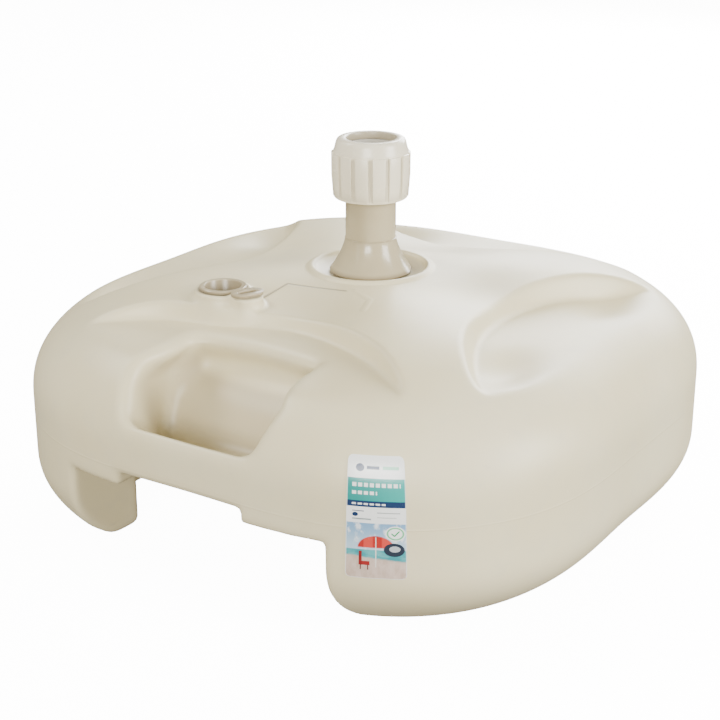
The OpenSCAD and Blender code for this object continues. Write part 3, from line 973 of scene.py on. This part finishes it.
WHITE, TEAL, NAVY = shade(0.86, 0.88, 0.87), shade(0.012, 0.26, 0.235), shade(0.012, 0.035, 0.10)
swirl = paint.noise(uv, 7.0, 4.0, 0.6)
picture_noise = paint.noise(paint.stretched(uv, (3.0, 14.0, 1.0)), 1.0, 4.0)
sky = paint.blend(v.ramp(0.24, 0.47), shade(0.44, 0.60, 0.72), shade(0.20, 0.36, 0.56))
sky = paint.blend(swirl.ramp(0.50, 0.66), sky, shade(0.72, 0.78, 0.82))
sea = paint.blend(picture_noise.ramp(0.4, 0.6), shade(0.03, 0.26, 0.30), shade(0.10, 0.40, 0.42))
sand = paint.blend(swirl.ramp(0.35, 0.65), shade(0.50, 0.38, 0.31), shade(0.62, 0.50, 0.43))
art = paint.blend(v.ramp(0.245, 0.255), sea, sky)
shore = v + (u - 0.5) * 0.05 + (swirl - 0.5) * 0.03
art = paint.blend(1.0 - shore.ramp(0.165, 0.185), art, sand)
dome_shape = inside_oval(0.50, 0.265, 0.30, 0.105) * v.ramp(0.262, 0.272)
panels = (u * 21.0).maths("SINE", u * 21.0).ramp(-0.2, 0.2)
parasol = paint.blend(panels, shade(0.42, 0.025, 0.022), shade(0.60, 0.06, 0.045))
art = paint.blend(dome_shape, art, parasol)
art = paint.blend(inside_box(0.492, 0.508, 0.10, 0.36), art, shade(0.75, 0.72, 0.66))
art = paint.blend(inside_box(0.22, 0.40, 0.115, 0.15), art, shade(0.30, 0.02, 0.02))
art = paint.blend(inside_box(0.22, 0.27, 0.115, 0.235), art, shade(0.22, 0.015, 0.015))
art = paint.blend(inside_box(0.24, 0.26, 0.075, 0.12), art, shade(0.10, 0.03, 0.03))
art = paint.blend(inside_box(0.36, 0.38, 0.075, 0.12), art, shade(0.10, 0.03, 0.03))
art = paint.blend(inside_oval(0.80, 0.255, 0.17, 0.058), art, shade(0.02, 0.03, 0.05))
art = paint.blend(inside_oval(0.81, 0.262, 0.09, 0.026), art, shade(0.42, 0.46, 0.50))
art = paint.blend(inside_oval(0.82, 0.395, 0.165, 0.063), art, WHITE)
art = paint.blend(inside_oval(0.82, 0.395, 0.145, 0.055), art, shade(0.16, 0.50, 0.26))
art = paint.blend(inside_oval(0.82, 0.395, 0.115, 0.043), art, WHITE)
tick_one = 1.0 - segment(u * PRINT_WIDTH, v * PRINT_HEIGHT, (28.2, 38.2), (29.8, 36.4)).ramp(0.35, 0.6)
tick_two = 1.0 - segment(u * PRINT_WIDTH, v * PRINT_HEIGHT, (29.8, 36.4), (32.6, 40.2)).ramp(0.35, 0.6)
art = paint.blend(tick_one.most(tick_two), art, shade(0.05, 0.33, 0.12))

info = paint.blend(inside_box(0.10, 0.30, 0.575, 0.582), WHITE, NAVY)
info = paint.blend(inside_oval(0.15, 0.548, 0.05, 0.018), info, NAVY)
info = paint.blend(inside_box(0.10, 0.42, 0.505, 0.517), info, shade(0.25, 0.30, 0.30))
info = paint.blend(inside_box(0.52, 0.90, 0.565, 0.573), info, shade(0.30, 0.33, 0.33))
info = paint.blend(inside_box(0.52, 0.84, 0.525, 0.533), info, shade(0.50, 0.52, 0.52))

teal = paint.blend(u.ramp(0.0, 1.0), TEAL, shade(0.03, 0.36, 0.32))
dashes = (u * 62.0).maths("SINE", u * 62.0).ramp(-0.75, -0.45)
teal = paint.blend(inside_box(0.08, 0.92, 0.775, 0.805) * dashes, teal, WHITE)
teal = paint.blend(inside_box(0.08, 0.52, 0.715, 0.742) * dashes, teal, WHITE)
strip = paint.blend(inside_box(0.08, 0.66, 0.632, 0.646) * dashes, NAVY, WHITE)

top = paint.blend(inside_oval(0.22, 0.915, 0.075, 0.028), WHITE, NAVY)
top = paint.blend(inside_box(0.34, 0.56, 0.905, 0.928), top, NAVY)
top = paint.blend(inside_box(0.62, 0.90, 0.905, 0.928), top, shade(0.25, 0.62, 0.42))

print_colour = paint.blend(v.ramp(0.475, 0.480), art, info)
print_colour = paint.blend(v.ramp(0.612, 0.617), print_colour, strip)
print_colour = paint.blend(v.ramp(0.662, 0.667), print_colour, teal)
print_colour = paint.blend(v.ramp(0.838, 0.843), print_colour, top)
edge_u = (u - 0.5).size() * PRINT_WIDTH - (PRINT_WIDTH / 2 - 0.7)
edge_v = (v - 0.5).size() * PRINT_HEIGHT - (PRINT_HEIGHT / 2 - 0.7)
edge = edge_u.most(edge_v).ramp(0.0, 0.5)
rub = (paint.noise(uv, 30.0, 5.0, 0.7).ramp(0.62, 0.8) * 0.25 + edge * 0.7).least(1.0)
print_colour = paint.blend(rub, print_colour, WHITE)
label_film = paint.finish(print_colour, 0.22 + rub * 0.2, swirl * 0.05, 0.001)
dress(label, label_film)
print("label material:", len(paint.tree.nodes), "nodes")

# %% [markdown]
# ### Floor
# The floor glows evenly, so it stays white. It is hidden from the base's reflections, so it doesn't light the
# underside.

# %% Floor material
paint = Paint("studio_white")
paint.finish(shade(0.93, 0.93, 0.93), 0.6)
paint.put(paint.surface.inputs["Emission Color"], shade(1.0, 1.0, 1.0))
paint.put(paint.surface.inputs["Emission Strength"], 13.0)
dress(floor, paint.material)
